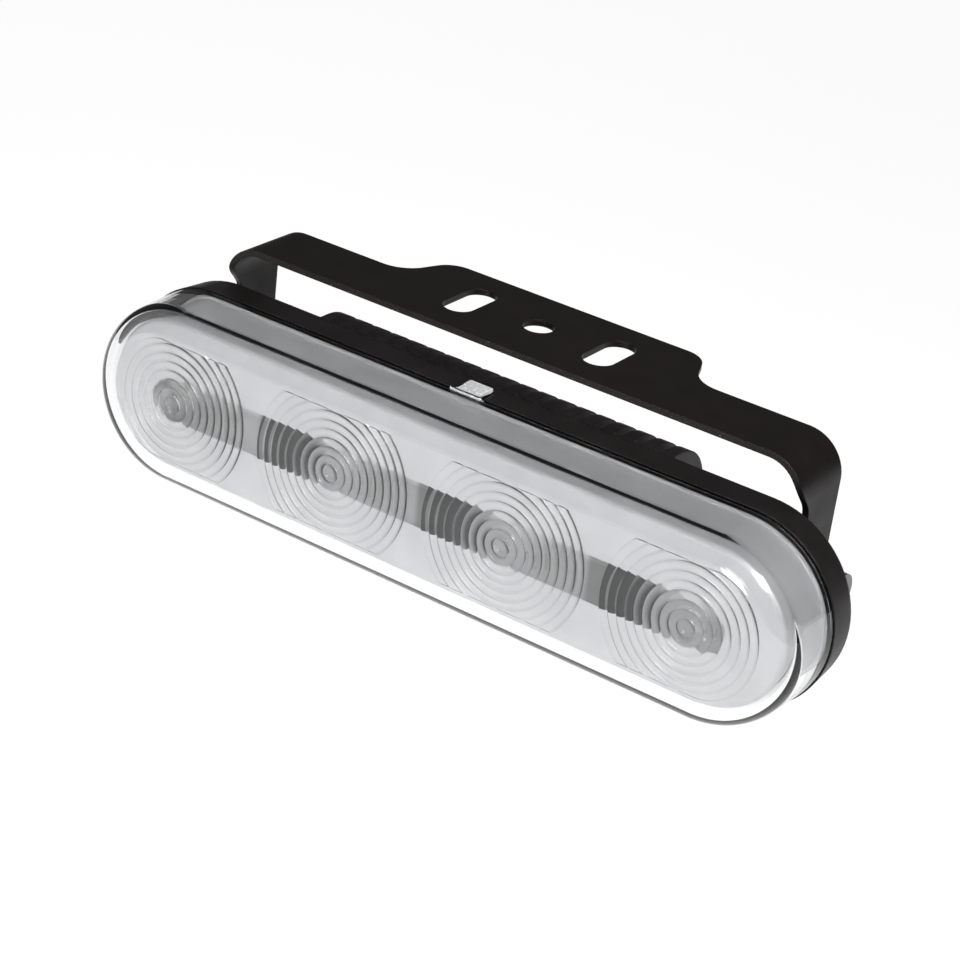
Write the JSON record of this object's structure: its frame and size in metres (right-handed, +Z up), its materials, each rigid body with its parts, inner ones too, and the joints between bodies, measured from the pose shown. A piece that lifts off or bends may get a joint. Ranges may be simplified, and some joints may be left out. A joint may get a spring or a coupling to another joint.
{
  "type": "daytime running light",
  "caption": "Slim stadium-shaped lamp with a clear ringed lens over a bright reflector, a finned black housing and a black U-bracket that it tilts in.",
  "frame": {"origin": "centre of the round hole, on the top face of the bracket's strip", "axes": "+X along the lamp, +Y towards its finned back, +Z up out of the strip's top face; the lens faces -Y"},
  "size_m": [0.1476, 0.0455, 0.0422],
  "materials": {
    "bracket_coat": "satin black coat on folded steel sheet",
    "housing_coat": "satin black coat on die-cast alloy",
    "clear_lens": "clear moulded polycarbonate, polished outside",
    "black_rubber": "matt moulded rubber",
    "bright_reflector": "bright metallised plastic",
    "pad_grey": "matt soft pad",
    "board_mask": "white solder mask on an alloy core",
    "bright_steel": "plated",
    "component_black": "moulded epoxy",
    "capacitor_tan": "ceramic block",
    "terminal_white": "moulded",
    "led_ceramic": "matt",
    "led_silicone": "clear silicone over a pale yellow phosphor",
    "washer_nylon": "moulded",
    "dark_steel": "black oxide"
  },
  "bodies": {
    "bracket": {"mounting_bracket": "bracket_coat"},
    "lamp": {"rear_housing": "housing_coat", "outer_lens": "clear_lens", "lens_seal": "black_rubber", "reflector": "bright_reflector", "thermal_pad": "pad_grey", "led_board": "board_mask", "board_screws": "bright_steel", "cable_grommet": "black_rubber", "driver_ic": "component_black", "power_inductor": "component_black", "polarity_diode": "component_black", "filter_capacitor": "capacitor_tan", "supply_terminal": "terminal_white", "sense_resistors": "component_black", "led_package_1": "led_ceramic", "led_dome_1": "led_silicone", "led_package_2": "led_ceramic", "led_dome_2": "led_silicone", "led_package_3": "led_ceramic", "led_dome_3": "led_silicone", "led_package_4": "led_ceramic", "led_dome_4": "led_silicone", "friction_washer_right": "washer_nylon", "flat_washer_right": "dark_steel", "spring_washer_right": "dark_steel", "pivot_screw_right": "dark_steel", "friction_washer_left": "washer_nylon", "flat_washer_left": "dark_steel", "spring_washer_left": "dark_steel", "pivot_screw_left": "dark_steel"}
  },
  "joints": [
    {"name": "lamp_tilt", "type": "hinge", "parent": "bracket", "child": "lamp", "pos_m": [0, -0.0035, -0.0244], "axis": [1, 0, 0], "range_deg": [-5, 190]}
  ]
}
